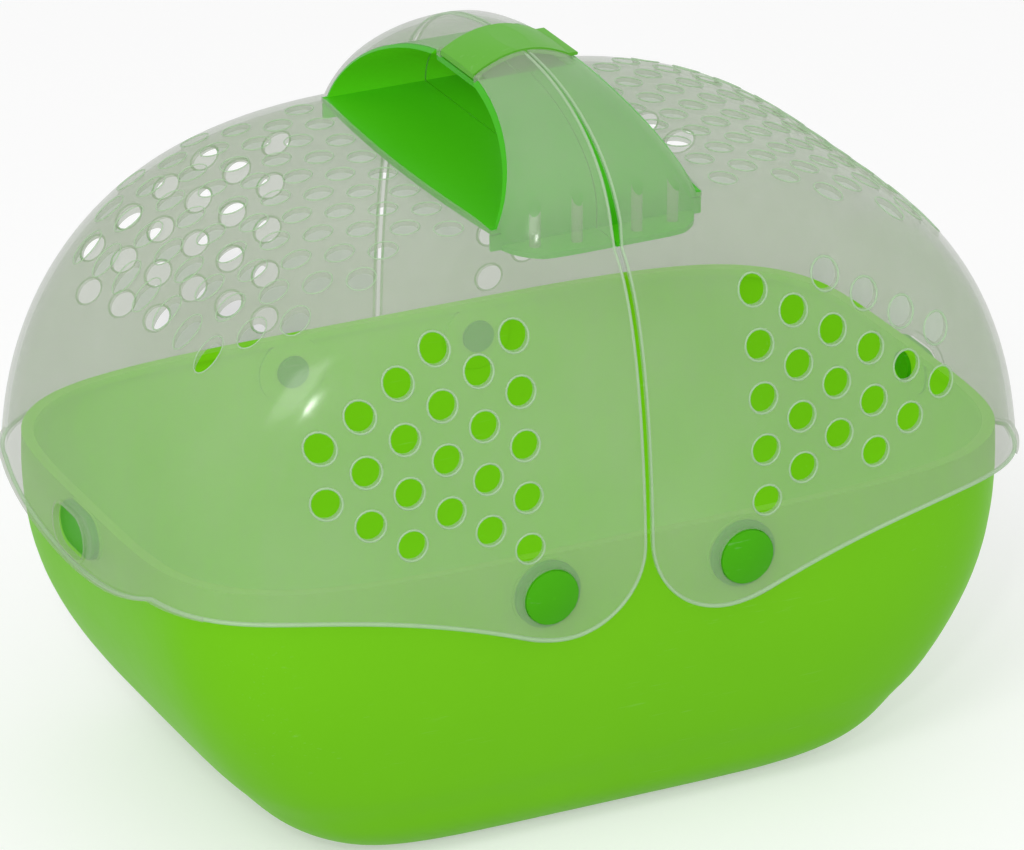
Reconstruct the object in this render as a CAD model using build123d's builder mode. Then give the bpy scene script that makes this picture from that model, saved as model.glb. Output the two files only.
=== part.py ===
from build123d import *
import math
import os

# Small animal carrier: a green tub, two frosted lid halves that swing apart like a
# clam shell, and a carrying handle whose two halves are part of the lids.
# Millimetres, X along the length, Y along the depth with the front at -Y, Z up,
# origin on the ground under the centre of the tub.

# Tub
tub_height = 138.0
tub_half_length = 187.0
tub_half_depth = 121.8
tub_wall = 2.2
tub_floor = 2.6
tub_length_taper = 71.0
tub_depth_taper = 31.0
tub_taper_power = 2.5
tub_bottom_radius = 17.5
tub_plan_power_rim = 4.6
tub_plan_power_floor = 6.0
tub_rim_width = 4.4
tub_rim_height = 3.0
tub_run_on = 5.0

# Lid dome: its outer surface goes round the tub with a gap and its own wall
lid_wall = 2.0
lid_end_gap = 4.5
lid_side_gap = 3.2
lid_half_length = tub_half_length + lid_end_gap + lid_wall
lid_half_depth = tub_half_depth + lid_side_gap + lid_wall
dome_rise = 124.0
dome_top = tub_height + dome_rise
dome_base = tub_height - 16.0
lid_skirt_bottom = tub_height - 42.0
dome_length_power = 2.2
dome_length_root = 3.36
dome_depth_power = 1.64
dome_depth_root = 7.9
dome_plan_power_low = 5.0
dome_plan_power_high = 4.2

# Seam between the two lid halves, as half gaps
seam_half_gap = 1.2
seam_half_gap_foot = 1.7
seam_half_gap_top = 0.5
liner_half_gap = 0.3

# Lower edge of each lid half seen from the front: places along the length are shares of
# the half length, and levels are counted down from the tub's rim
edge_corner_radius = 34.5
edge_corner_level = tub_height - 1.5
edge_rise = [(0.318, 29.4), (0.517, 17.5), (0.775, 9.8)]
edge_end_start = 0.93 * lid_half_length
edge_side_level = tub_height - 9.2
edge_end_level = tub_height - 23.0
edge_end_half_width = 0.583 * lid_half_depth
end_lip_reach = 1.6
end_lip_thickness = 1.8

# Handle, an oval hump over the seam, and the hand hole through it
handle_rise = 43.0
handle_top = dome_top + handle_rise
handle_centre_level = dome_top - 22.0
handle_half_width = 49.0
handle_half_length = 98.5
handle_power_top = 1.75
handle_power_gain = 0.085
handle_end_power = 2.3
handle_wall_over_hole = 6.8
hand_hole_floor = dome_top - 2.5
hand_hole_half_length = handle_half_length - 19.5
hand_hole_height = handle_top - handle_wall_over_hole - hand_hole_floor
hand_hole_half_width = handle_half_width - 3.0
hand_hole_bow = 4.0

# Handle liner
liner_wall = 1.3
liner_floor_thickness = 2.0
liner_clearance = 0.3
liner_foot_top = dome_top - 9.6
liner_foot_half_width = handle_half_width - 7.0
liner_foot_half_length = handle_half_length - 1.6
liner_foot_corner = 22.0

# Bosses of the lid that stand on the liner's foot
boss_radius = 2.3
boss_gap = 0.05
boss_places = [(13.0, 11.0), (30.0, 13.5)]

# Clip over the top of the handle
clip_width = 29.8
clip_clearance = 0.4
clip_thickness = 2.6
clip_proud = 0.6
clip_underside_level = handle_top - 6.4
clip_pin_end_level = handle_top - 9.0
clip_tab_root = 17.0
clip_tab_end = 23.4
clip_tab_thickness = 1.4
clip_tab_edge_radius = 0.6
clip_pin_x = 20.9
clip_pin_level = handle_top - 8.0
clip_pin_radius = 1.0
clip_pin_clearance = 0.1
clip_pin_seat = 0.03
clip_knuckle_radius = 1.8
clip_lug_thickness = 3.4
clip_lug_half_width = 1.9
clip_lug_drop = 2.2
pocket_depth = 4.6
pocket_wall_drop = 1.4
pocket_half_length = clip_pin_x + 0.9
pocket_left_end_top = clip_pin_level - 2.6
pocket_right_end_top = clip_pin_level

# Pivot knobs, front and back
pivot_x = 43.0
pivot_level = dome_base
knob_radius = 11.3
knob_hole_clearance = 0.4
knob_flange_radius = knob_radius + 2.7
knob_flange_gap = 0.8
knob_crown_land = 0.6
knob_crown_height = 1.8
knob_stem_radius = 5.0
knob_stem_clearance = 0.1
knob_head_radius = knob_stem_radius + 2.0
knob_head_thickness = 1.6
pivot_pad_radius = knob_flange_radius + 1.0
pivot_pad_proud = 0.5
pivot_pad_thickness = 4.0

# Snap buttons on the end walls
snap_level = tub_height - 10.0
snap_half_width = 17.0
snap_half_height = 9.4
snap_window_half_width = 15.2
snap_window_half_height = 9.2
snap_window_rim = 1.5
snap_window_rim_proud = 0.6
snap_skin_gap = 0.9
snap_edge_radius = 1.2
snap_stem_radius = 4.0
snap_head_radius = snap_stem_radius + 2.0
snap_head_thickness = 1.6
snap_pad_proud = 0.8
snap_pad_thickness = 4.2
snap_pad_border = 0.4

# Ventilation holes
side_hole_radius = 6.0
side_hole_first_x = 52.0
side_hole_last_x = 0.695 * lid_half_length
side_hole_first_level = tub_height + 6.4
side_hole_row_pitch = 0.17 * dome_rise
side_hole_rows = [(0, 5), (0, 4), (1, 4), (0, 4), (1, 3), (1, 2)]
side_hole_column_pitch = (side_hole_last_x - side_hole_first_x) / (len(side_hole_rows) - 1)
roof_hole_radius = 5.5
roof_hole_first_x = handle_half_width + 11.0
roof_hole_last_x = 0.8165 * lid_half_length
roof_hole_row_pitch = 0.1575 * lid_half_depth
roof_hole_reach = dome_rise / 2
roof_hole_columns = [8, 7, 8, 9, 8, 9, 8, 7]
roof_hole_column_pitch = (roof_hole_last_x - roof_hole_first_x) / (len(roof_hole_columns) - 1)

# Points round each level outline, and how far they gather at its corners
section_points = 28
corner_gathering = 0.4

# A length past the whole carrier, for cuts that run right through
far = 400.0

os.makedirs("parts", exist_ok=True)


def superellipse(half_x, half_y, power):
    """Points round a rounded rectangle |x/a|^p + |y/b|^p = 1, closer together at its corners."""
    gather = (2 / power) ** corner_gathering
    points = []
    for index in range(section_points):
        turn = 2 * math.pi * (index + 0.5) / section_points
        across = math.copysign(abs(math.cos(turn)) ** gather, math.cos(turn))
        along = math.copysign(abs(math.sin(turn)) ** gather, math.sin(turn))
        reach = (abs(across) ** power + abs(along) ** power) ** (-1 / power)
        points.append((half_x * reach * across, half_y * reach * along))
    return points


def loft_sections(sections):
    """A solid through level rounded rectangles given as (level, half_x, half_y, power)."""
    with BuildPart() as body:
        for level, half_x, half_y, power in sections:
            with BuildSketch(Plane.XY.offset(level)):
                with BuildLine():
                    Spline(*superellipse(half_x, half_y, power), periodic=True)
                make_face()
        loft()
    return body.part


def dome_section(level, inset):
    """Half sizes of the lid dome at a level, drawn in by an inset on every side."""
    rise = max(0.0, (level - dome_base) / (dome_top - inset - dome_base))
    half_x = (lid_half_length - inset) * (1 - rise**dome_length_power) ** (1 / dome_length_root)
    half_y = (lid_half_depth - inset) * (1 - rise**dome_depth_power) ** (1 / dome_depth_root)
    power = dome_plan_power_low + (dome_plan_power_high - dome_plan_power_low) * rise
    return level, half_x, half_y, power


def dome(inset, bottom):
    """The solid dome of the lid, from a level below its skirt to its nearly flat top."""
    rises = [0.0, 0.14, 0.28, 0.42, 0.56, 0.69, 0.8, 0.88, 0.94, 0.975, 0.993]
    height = dome_top - inset - dome_base
    sections = [dome_section(bottom, inset)]
    for rise in rises:
        sections.append(dome_section(dome_base + rise * height, inset))
    return loft_sections(sections)


def handle_section(level, inset):
    """Half sizes of the handle hump at a level."""
    height = handle_top - inset - handle_centre_level
    rise = (level - handle_centre_level) / height
    power = handle_power_top + handle_power_gain * (handle_top - inset - level)
    half_x = (handle_half_width - inset) * math.sqrt(1 - rise**2)
    half_y = (handle_half_length - inset) * (1 - rise**handle_end_power) ** (1 / handle_end_power)
    return level, half_x, half_y, max(2.0, power)


def hump(inset):
    """The solid hump that the handle is cut from."""
    shares = [0.0, 0.2, 0.38, 0.54, 0.68, 0.79, 0.88, 0.94, 0.975, 0.993]
    height = handle_top - inset - handle_centre_level
    sections = []
    for share in shares:
        sections.append(handle_section(handle_centre_level + share * height, inset))
    return loft_sections(sections)


def tub_section(level, inset):
    """Half sizes of the tub at a level, with its rounded bottom edge."""
    drop = 1 - level / tub_height
    half_x = tub_half_length - tub_length_taper * drop**tub_taper_power
    half_y = tub_half_depth - tub_depth_taper * drop**tub_taper_power
    round_start = tub_bottom_radius
    if level < round_start:
        depth = 1 - level / round_start
        cut_back = tub_bottom_radius * (1 - math.sqrt(1 - depth**2))
        half_x -= cut_back
        half_y -= cut_back
    power = tub_plan_power_rim + (tub_plan_power_floor - tub_plan_power_rim) * drop
    return level, half_x - inset, half_y - inset, power


def tub_solid(inset, floor, top):
    """The solid tub, or its inside when drawn in and lifted, run on past the rim to a level."""
    round_levels = [tub_bottom_radius * share for share in (0.0, 0.03, 0.1, 0.25, 0.5, 0.75, 1.0)]
    wall_levels = [32.0, 52.0, 74.0, 96.0, 114.0, 128.0, tub_height]
    sections = []
    for level in round_levels + wall_levels:
        lifted = floor + level * (1 - floor / tub_height)
        sections.append((lifted, *tub_section(level, inset)[1:]))
    sections.append((top, *sections[-1][1:]))
    return loft_sections(sections)


def level_ring(outer, inner, bottom, thickness):
    """A level rounded-rectangle ring between two outlines (half_x, half_y, power)."""
    with BuildPart() as ring:
        with BuildSketch(Plane.XY.offset(bottom)):
            with BuildLine():
                Spline(*superellipse(*outer), periodic=True)
            make_face()
            with BuildLine():
                Spline(*superellipse(*inner), periodic=True)
            make_face(mode=Mode.SUBTRACT)
        extrude(amount=thickness)
    return ring.part


def hand_hole(shrink, bottom, half_width_gain):
    """The half-oval hand hole as a solid running along X, on straight legs down to a level."""
    half_length = hand_hole_half_length - shrink
    height = hand_hole_height - shrink
    side = hand_hole_half_width + half_width_gain
    with BuildPart() as hole:
        with BuildSketch(Plane.YZ):
            with BuildLine():
                EllipticalCenterArc((0, hand_hole_floor), half_length, height, 0, arc_size=180)
                Polyline(
                    (-half_length, hand_hole_floor),
                    (-half_length, bottom),
                    (half_length, bottom),
                    (half_length, hand_hole_floor),
                )
            make_face()
        extrude(amount=2 * side, both=True)
        with BuildSketch(Plane.XY.offset(bottom)):
            with BuildLine():
                reach = hand_hole_half_length + 1
                ThreePointArc((side, -reach), (side + hand_hole_bow, 0), (side, reach))
                Line((side, reach), (-side, reach))
                ThreePointArc((-side, reach), (-side - hand_hole_bow, 0), (-side, -reach))
                Line((-side, -reach), (side, -reach))
            make_face()
        extrude(amount=2 * hand_hole_height, mode=Mode.INTERSECT)
    return hole.part


def right_side_keeper(half_gap_low, half_gap_foot, half_gap_top):
    """Everything on the far side of the seam, to be cut from a left-hand piece."""
    with BuildPart() as keeper:
        with BuildSketch(Plane.XZ):
            with BuildLine():
                Polyline(
                    (-half_gap_low, 0),
                    (-half_gap_low, handle_centre_level),
                    (-half_gap_foot, hand_hole_floor),
                    (-half_gap_top, handle_top),
                    (-half_gap_top, handle_top + 20),
                    (far, handle_top + 20),
                    (far, 0),
                    close=True,
                )
            make_face()
        extrude(amount=far, both=True)
    return keeper.part


def below_front_edge():
    """The space under the wavy lower edge of the left lid, seen from the front."""
    corner_x = seam_half_gap + edge_corner_radius
    corner_bottom = edge_corner_level - edge_corner_radius
    with BuildPart() as space:
        with BuildSketch(Plane.XZ):
            with BuildLine():
                Line((0, 0), (-edge_end_start, 0))
                Line((-edge_end_start, 0), (-edge_end_start, edge_side_level))
                Spline(
                    (-edge_end_start, edge_side_level),
                    *[(-share * lid_half_length, tub_height - drop) for share, drop in reversed(edge_rise)],
                    (-corner_x, corner_bottom),
                    tangents=((1, 0), (1, 0)),
                )
                CenterArc((-corner_x, edge_corner_level), edge_corner_radius, 270, 90)
                Polyline((-seam_half_gap, edge_corner_level), (0, edge_corner_level), (0, 0))
            make_face()
        extrude(amount=far, both=True)
    return space.part


def end_edge_band(bottom, lift):
    """The space beyond the end start from a level up to the end's lower edge, lifted."""
    half = edge_end_half_width
    side_level = edge_side_level + lift
    with BuildPart() as band:
        with BuildSketch(Plane.YZ.offset(-edge_end_start)):
            with BuildLine():
                ThreePointArc((-half, side_level), (0, edge_end_level + lift), (half, side_level))
                Polyline(
                    (half, side_level),
                    (lid_half_depth + 20, side_level),
                    (lid_half_depth + 20, bottom),
                    (-lid_half_depth - 20, bottom),
                    (-lid_half_depth - 20, side_level),
                    (-half, side_level),
                )
            make_face()
        extrude(amount=-60)
    return band.part


def side_hole_places():
    """Centres of the holes in the long walls of the left lid, as (x, level)."""
    places = []
    for column, (first_row, count) in enumerate(side_hole_rows):
        lift = 0.5 * (column % 2)
        for row in range(first_row, first_row + count):
            x = -side_hole_first_x - column * side_hole_column_pitch
            places.append((x, side_hole_first_level + (row + lift) * side_hole_row_pitch))
    return places


def roof_hole_places():
    """Centres of the holes in the roof of the left lid, as (x, y)."""
    places = []
    for column, count in enumerate(roof_hole_columns):
        x = -roof_hole_first_x - column * roof_hole_column_pitch
        for row in range(count):
            places.append((x, (row - (count - 1) / 2) * roof_hole_row_pitch))
    return places


def clip_lugs():
    """Two ears under the handle skin that hold the clip pin."""
    inner_face = clip_width / 2 + clip_clearance
    top = clip_pin_level + clip_lug_drop
    bottom = clip_pin_level - clip_lug_drop
    with BuildPart() as lugs:
        for side in (-1, 1):
            middle = side * (inner_face + clip_lug_thickness / 2)
            with Locations((-clip_pin_x, middle, (top + bottom) / 2)):
                Box(2 * clip_lug_half_width, clip_lug_thickness, top - bottom)
        add(hump(0), mode=Mode.INTERSECT)
    return lugs.part


def liner_bosses():
    """Round bosses under the handle skin of the left lid, down to the liner's foot."""
    with BuildPart() as bosses:
        with BuildSketch(Plane.XY.offset(liner_foot_top + boss_gap)):
            for x, in_from_end in boss_places:
                y = handle_half_length - in_from_end
                with Locations((-x, -y), (-x, y)):
                    Circle(boss_radius)
        extrude(amount=handle_rise)
        add(hump(lid_wall / 2), mode=Mode.INTERSECT)
    return bosses.part


def window_rim():
    """The raised rim round the window in the end wall of the left lid."""
    with BuildPart() as rim:
        with BuildSketch(Plane.YZ.offset(-lid_half_length - snap_window_rim_proud)):
            with Locations((0, snap_level)):
                SlotOverall(
                    2 * (snap_window_half_width + snap_window_rim),
                    2 * (snap_window_half_height + snap_window_rim),
                )
        extrude(amount=snap_window_rim_proud + lid_wall / 2)
        fillet(rim.faces().sort_by(Axis.X)[0].edges(), snap_window_rim_proud / 2)
    return rim.part


def end_lip():
    """The narrow lip that runs round the end of the left lid along its lower edge."""
    with BuildPart() as lip:
        add(end_edge_band(lid_skirt_bottom + 4, end_lip_thickness))
        add(end_edge_band(lid_skirt_bottom, 0), mode=Mode.SUBTRACT)
        add(dome(0, lid_skirt_bottom).moved(Location((-end_lip_reach, 0, 0))), mode=Mode.INTERSECT)
        add(dome(lid_wall / 2, lid_skirt_bottom - 1), mode=Mode.SUBTRACT)
    return lip.part


# Tub with a stiff rim, flat pads for the knobs and the end buttons
pad_face_y = tub_half_depth + pivot_pad_proud
pad_back_y = pad_face_y - pivot_pad_thickness
snap_face_x = tub_half_length + snap_pad_proud
snap_back_x = snap_face_x - snap_pad_thickness
with BuildPart() as tub:
    add(tub_solid(0, 0, tub_height + tub_run_on))
    add(tub_solid(tub_wall, tub_floor, tub_height + 2 * tub_run_on), mode=Mode.SUBTRACT)
    rim_outer = (tub_half_length - tub_wall / 2, tub_half_depth - tub_wall / 2, tub_plan_power_rim)
    rim_inner = (tub_half_length - tub_rim_width, tub_half_depth - tub_rim_width, tub_plan_power_rim)
    add(level_ring(rim_outer, rim_inner, tub_height - tub_rim_height, tub_rim_height + tub_run_on))
    split(bisect_by=Plane.XY.offset(tub_height), keep=Keep.BOTTOM)
    for side in (-1, 1):
        with BuildSketch(Plane.XZ.offset(side * pad_face_y)):
            with Locations((-pivot_x, pivot_level), (pivot_x, pivot_level)):
                Circle(pivot_pad_radius)
        extrude(amount=-side * pivot_pad_thickness)
        with BuildSketch(Plane.YZ.offset(side * snap_face_x)):
            with Locations((0, snap_level)):
                SlotOverall(2 * (snap_half_width + snap_pad_border), 2 * (snap_half_height + snap_pad_border))
        extrude(amount=-side * snap_pad_thickness)
    with BuildSketch(Plane.XZ):
        with Locations((-pivot_x, pivot_level), (pivot_x, pivot_level)):
            Circle(knob_stem_radius + knob_stem_clearance)
    extrude(amount=far, both=True, mode=Mode.SUBTRACT)
    with BuildSketch(Plane.YZ):
        with Locations((0, snap_level)):
            Circle(snap_stem_radius + knob_stem_clearance)
    extrude(amount=far, both=True, mode=Mode.SUBTRACT)
tub.part.label = "tub"
export_step(tub.part, "parts/tub.step")


# Left lid: half the dome and half the handle hump as one thin shell
with BuildPart() as left_lid:
    add(dome(0, lid_skirt_bottom))
    add(hump(0))
    add(right_side_keeper(seam_half_gap, seam_half_gap_foot, seam_half_gap_top), mode=Mode.SUBTRACT)
    add(dome(lid_wall, lid_skirt_bottom - 1), mode=Mode.SUBTRACT)
    add(hump(lid_wall), mode=Mode.SUBTRACT)
    add(hand_hole(0, hand_hole_floor - 3, 0), mode=Mode.SUBTRACT)
    add(below_front_edge(), mode=Mode.SUBTRACT)
    add(end_edge_band(0, 0), mode=Mode.SUBTRACT)
    add(end_lip())
    add(window_rim())
    add(liner_bosses())
    with Locations((0, 0, handle_top)):
        Box(2 * handle_half_width, clip_width + 2 * clip_clearance, 30, mode=Mode.SUBTRACT)
    with BuildSketch(Plane.XZ):
        with Locations(*side_hole_places()):
            Circle(side_hole_radius)
        with Locations((-pivot_x, pivot_level)):
            Circle(knob_radius + knob_hole_clearance)
    extrude(amount=far, both=True, mode=Mode.SUBTRACT)
    with BuildSketch(Plane.XY.offset(dome_top)):
        with Locations(*roof_hole_places()):
            Circle(roof_hole_radius)
    extrude(amount=roof_hole_reach, both=True, mode=Mode.SUBTRACT)
    with BuildSketch(Plane.YZ):
        with Locations((0, snap_level)):
            SlotOverall(2 * snap_window_half_width, 2 * snap_window_half_height)
    extrude(amount=-far, mode=Mode.SUBTRACT)

# Right lid: the mirror image, without the ears for the clip pin
right_lid = left_lid.part.mirror(Plane.YZ)
right_lid.label = "right_lid"
export_step(right_lid, "parts/right_lid.step")

with BuildPart() as left_lid_with_lugs:
    add(left_lid.part)
    add(clip_lugs())
    with BuildSketch(Plane.XZ):
        with Locations((-clip_pin_x, clip_pin_level)):
            Circle(clip_pin_radius + clip_pin_seat)
    extrude(amount=clip_width / 2 + clip_clearance + clip_lug_thickness, both=True, mode=Mode.SUBTRACT)
left_lid_with_lugs.part.label = "left_lid"
export_step(left_lid_with_lugs.part, "parts/left_lid.step")

# Outside of a closed lid pair, and the room inside it for the liners
with BuildPart() as outer_envelope:
    add(dome(0, lid_skirt_bottom))
    add(hump(0))
with BuildPart() as inner_envelope:
    add(dome(lid_wall + liner_clearance, lid_skirt_bottom))
    add(hump(lid_wall + liner_clearance))


# Handle liner: the green lining of the hand hole, with a floor that closes the handle
def handle_liner(pocket_end_top):
    """The left liner, with the top level of the wall that ends its clip pocket."""
    pocket_floor = hand_hole_floor + hand_hole_height - liner_clearance - pocket_depth
    pocket_half_width = clip_width / 2 + clip_clearance + clip_lug_thickness + liner_clearance
    trough_top = pocket_floor + pocket_depth - pocket_wall_drop
    trough_height = trough_top - pocket_floor + liner_wall
    inside_half_length = pocket_half_length - liner_wall
    floor_bottom = hand_hole_floor - liner_floor_thickness
    foot_bottom = liner_foot_top - liner_floor_thickness
    with BuildPart() as legs:
        add(hand_hole(liner_clearance, foot_bottom, -liner_clearance))
        add(hand_hole(liner_clearance + liner_wall, foot_bottom - 1, liner_wall), mode=Mode.SUBTRACT)
        add(inner_envelope.part, mode=Mode.INTERSECT)
    with BuildPart() as hole_floor:
        add(hand_hole(liner_clearance, floor_bottom, -liner_clearance))
        split(bisect_by=Plane.XY.offset(hand_hole_floor), keep=Keep.BOTTOM)
        add(outer_envelope.part, mode=Mode.INTERSECT)
    with BuildPart() as arch:
        add(hand_hole(liner_clearance, floor_bottom, -liner_clearance))
        add(hand_hole(liner_clearance + liner_wall, floor_bottom - 1, liner_wall), mode=Mode.SUBTRACT)
        add(outer_envelope.part, mode=Mode.INTERSECT)
        add(hole_floor.part)
        add(legs.part)
        with Locations((0, 0, trough_top - trough_height / 2)):
            Box(2 * pocket_half_length, 2 * (pocket_half_width + liner_wall), trough_height)
        with Locations((0, 0, pocket_floor + far / 2)):
            Box(2 * inside_half_length, 2 * pocket_half_width, far, mode=Mode.SUBTRACT)
        with Locations((0, 0, pocket_end_top + far / 2)):
            Box(far, 2 * pocket_half_width, far, mode=Mode.SUBTRACT)
    with BuildPart() as foot:
        with BuildSketch(Plane.XY.offset(foot_bottom)):
            RectangleRounded(2 * liner_foot_half_width, 2 * liner_foot_half_length, liner_foot_corner)
            Rectangle(far, 2 * (hand_hole_half_length - liner_clearance - liner_wall), mode=Mode.SUBTRACT)
        extrude(amount=liner_floor_thickness)
        add(inner_envelope.part, mode=Mode.INTERSECT)
    with BuildPart() as liner:
        add(arch.part)
        add(foot.part)
        add(right_side_keeper(liner_half_gap, liner_half_gap, liner_half_gap), mode=Mode.SUBTRACT)
    return liner.part


with BuildPart() as left_handle_liner:
    add(handle_liner(pocket_left_end_top))
left_handle_liner.part.label = "left_handle_liner"
export_step(left_handle_liner.part, "parts/left_handle_liner.step")

with BuildPart() as right_handle_liner:
    add(handle_liner(pocket_right_end_top).mirror(Plane.YZ))
right_handle_liner.part.label = "right_handle_liner"
export_step(right_handle_liner.part, "parts/right_handle_liner.step")


# Handle clip: the strap over the top of the handle, hinged on its left half
with BuildPart() as handle_clip:
    add(hump(-clip_proud))
    add(hump(clip_thickness - clip_proud), mode=Mode.SUBTRACT)
    with Locations((0, 0, handle_top)):
        Box(2 * (clip_pin_x + clip_knuckle_radius), clip_width, 30, mode=Mode.INTERSECT)
    with Locations((far / 2, 0, clip_underside_level - far / 2)):
        Box(far, far, far, mode=Mode.SUBTRACT)
    with Locations((-far / 2, 0, clip_pin_end_level - far / 2)):
        Box(far, far, far, mode=Mode.SUBTRACT)
    tab_length = clip_tab_end - clip_tab_root
    tab_middle = (clip_tab_end + clip_tab_root) / 2
    with Locations((tab_middle, 0, clip_underside_level + clip_tab_thickness / 2)):
        Box(tab_length, clip_width, clip_tab_thickness)
    fillet(handle_clip.edges().filter_by(Axis.Y).sort_by(Axis.X)[-2:], clip_tab_edge_radius)
    with BuildSketch(Plane.XZ):
        with Locations((-clip_pin_x, clip_pin_level)):
            Circle(clip_knuckle_radius)
    extrude(amount=clip_width / 2, both=True)
    with BuildSketch(Plane.XZ):
        with Locations((-clip_pin_x, clip_pin_level)):
            Circle(clip_pin_radius + clip_pin_clearance)
    extrude(amount=clip_width, both=True, mode=Mode.SUBTRACT)
handle_clip.part.label = "handle_clip"
export_step(handle_clip.part, "parts/handle_clip.step")

with BuildPart() as clip_hinge_pin:
    with BuildSketch(Plane.XZ):
        with Locations((-clip_pin_x, clip_pin_level)):
            Circle(clip_pin_radius)
    extrude(amount=clip_width / 2 + clip_clearance + clip_lug_thickness, both=True)
clip_hinge_pin.part.label = "clip_hinge_pin"
export_step(clip_hinge_pin.part, "parts/clip_hinge_pin.step")


# Pivot knobs: a hub that the lid turns on, a flange behind the lid, a stem through the tub
def pivot_knob(x, side):
    """One knob at a place along the length, on the front (-1) or the back (+1)."""
    flange_face = lid_half_depth - lid_wall - knob_flange_gap
    land_face = lid_half_depth + knob_crown_land
    crown_face = land_face + knob_crown_height
    crown_radius = (knob_radius**2 + knob_crown_height**2) / (2 * knob_crown_height)
    middle_rise = math.sqrt(crown_radius**2 - (knob_radius / 2) ** 2) - crown_radius
    head_face = pad_back_y - knob_head_thickness
    with BuildPart() as knob:
        with BuildSketch(Plane.XY):
            with BuildLine():
                Polyline(
                    (0, crown_face),
                    (0, head_face),
                    (knob_head_radius, head_face),
                    (knob_head_radius, pad_back_y),
                    (knob_stem_radius, pad_back_y),
                    (knob_stem_radius, pad_face_y),
                    (knob_flange_radius, pad_face_y),
                    (knob_flange_radius, flange_face),
                    (knob_radius, flange_face),
                    (knob_radius, land_face),
                )
                ThreePointArc(
                    (knob_radius, land_face),
                    (knob_radius / 2, crown_face + middle_rise),
                    (0, crown_face),
                )
            make_face()
        revolve(axis=Axis.Y)
    turned = knob.part if side > 0 else knob.part.rotate(Axis.Z, 180)
    return turned.moved(Location((x, 0, pivot_level)))


for name, x, side in [
    ("front_left_pivot_knob", -pivot_x, -1),
    ("front_right_pivot_knob", pivot_x, -1),
    ("back_left_pivot_knob", -pivot_x, 1),
    ("back_right_pivot_knob", pivot_x, 1),
]:
    knob = pivot_knob(x, side)
    knob.label = name
    export_step(knob, f"parts/{name}.step")


# Snap buttons: an oval button on each end wall, behind the window of the lid
def snap_button(side):
    """The button of the left (-1) or right (+1) end."""
    crown_x = lid_half_length - lid_wall - snap_skin_gap
    with BuildPart() as button:
        with BuildSketch(Plane.YZ.offset(snap_face_x)):
            with Locations((0, snap_level)):
                SlotOverall(2 * snap_half_width, 2 * snap_half_height)
        extrude(amount=crown_x - snap_face_x)
        fillet(button.faces().sort_by(Axis.X)[-1].edges(), snap_edge_radius)
        with BuildSketch(Plane.YZ.offset(snap_back_x - snap_head_thickness)):
            with Locations((0, snap_level)):
                Circle(snap_stem_radius)
        extrude(amount=snap_pad_thickness + snap_head_thickness)
        with BuildSketch(Plane.YZ.offset(snap_back_x - snap_head_thickness)):
            with Locations((0, snap_level)):
                Circle(snap_head_radius)
        extrude(amount=snap_head_thickness)
    return button.part if side > 0 else button.part.mirror(Plane.YZ)


for name, side in [("left_snap_button", -1), ("right_snap_button", 1)]:
    button = snap_button(side)
    button.label = name
    export_step(button, f"parts/{name}.step")
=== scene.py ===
"""Looks of a small animal carrier: green tub, frosted lid halves, handle liners, clip, knobs.

Everything is in metres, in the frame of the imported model: X along the length, Y along the
depth with the front at -Y, Z up, origin on the ground under the centre.
"""

import math

import bpy
import numpy as np
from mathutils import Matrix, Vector


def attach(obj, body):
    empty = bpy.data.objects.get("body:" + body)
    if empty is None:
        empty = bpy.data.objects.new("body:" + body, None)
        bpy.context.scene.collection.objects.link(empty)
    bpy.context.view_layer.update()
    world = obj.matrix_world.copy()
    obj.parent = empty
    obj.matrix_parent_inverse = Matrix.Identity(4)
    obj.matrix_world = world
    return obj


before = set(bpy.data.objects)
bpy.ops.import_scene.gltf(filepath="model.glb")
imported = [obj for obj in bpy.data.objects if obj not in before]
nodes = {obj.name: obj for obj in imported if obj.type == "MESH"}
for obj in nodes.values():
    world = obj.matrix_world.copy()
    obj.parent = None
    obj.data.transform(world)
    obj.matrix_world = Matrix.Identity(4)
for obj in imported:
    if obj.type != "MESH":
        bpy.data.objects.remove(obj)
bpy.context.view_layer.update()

bl_info = {
    "name": "Small Animal Carrier",
    "version": (1, 0, 0),
    "blender": (4, 5, 0),
    "location": "View3D > Sidebar > Carrier",
    "description": "Finishes the moulded pieces of a small animal carrier and sets its stage",
    "category": "Object",
}


# Sizes of the lid halves, the same as in the CAD

tub_height = 0.138
dome_top = 0.262
dome_base = 0.122
dome_length_power = 2.2
dome_length_root = 3.36
dome_depth_power = 1.64
dome_depth_root = 7.9
dome_plan_power_low = 5.0
dome_plan_power_high = 4.2
lid_half_length = 0.1935
lid_half_depth = 0.127
seam_half_gap = 0.0012
seam_half_gap_foot = 0.0017
seam_half_gap_top = 0.0005
hand_hole_floor = 0.2595
handle_top = 0.305
handle_centre_level = 0.24
handle_half_width = 0.049
handle_half_length = 0.0985
handle_end_power = 2.3
clip_half_cut = 0.0153
edge_corner_radius = 0.0345
edge_corner_level = 0.1365
edge_rise = [(0.318, 0.0294), (0.517, 0.0175), (0.775, 0.0098)]
edge_end_start = 0.93 * lid_half_length
edge_side_level = 0.1288
edge_end_level = 0.115
edge_end_half_width = 0.583 * lid_half_depth
side_vent_radius = 0.006
side_vent_first = (0.052, 0.1444)
side_vent_last_x = 0.695 * lid_half_length
side_vent_row_pitch = 0.17 * (dome_top - tub_height)
side_vent_rows = [(0, 5), (0, 4), (1, 4), (0, 4), (1, 3), (1, 2)]
roof_vent_radius = 0.0055
roof_vent_first_x = handle_half_width + 0.011
roof_vent_last_x = 0.8165 * lid_half_length
roof_vent_row_pitch = 0.1575 * lid_half_depth
roof_vent_columns = [8, 7, 8, 9, 8, 9, 8, 7]


# How the edge bead lies on the lid

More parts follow.
